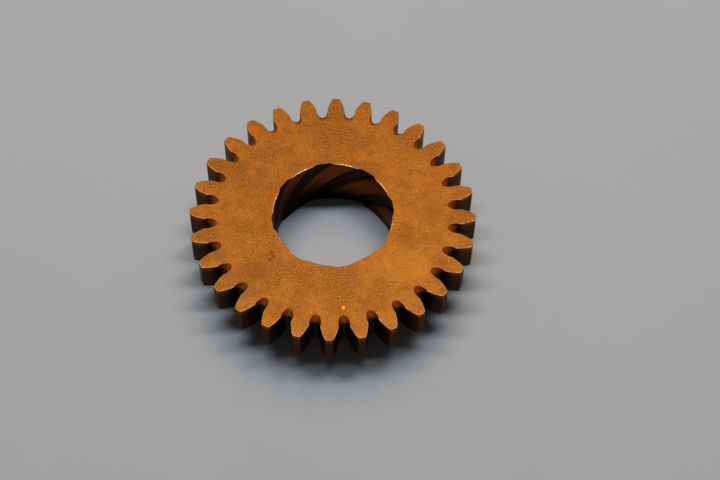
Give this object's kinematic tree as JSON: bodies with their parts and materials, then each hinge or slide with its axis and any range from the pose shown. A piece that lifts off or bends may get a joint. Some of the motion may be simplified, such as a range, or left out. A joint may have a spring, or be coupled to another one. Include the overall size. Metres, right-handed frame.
{
  "type": "splined spur gear",
  "caption": "Bronze spur gear in one piece, with a short boss under the toothed ring and a bore cut with a shallow left-hand helical spline.",
  "frame": {"origin": "on the gear's axis, at the boss's end face", "axes": "+Z along the gear's axis, from the boss towards the toothed ring; +Y through the middle of one tooth"},
  "size_m": [0.045, 0.045, 0.01],
  "materials": {
    "bronze": "oiled bronze, satin faces, dark flanks and bore"
  },
  "bodies": {
    "root": {"splined_spur_gear": "bronze"}
  },
  "joints": []
}
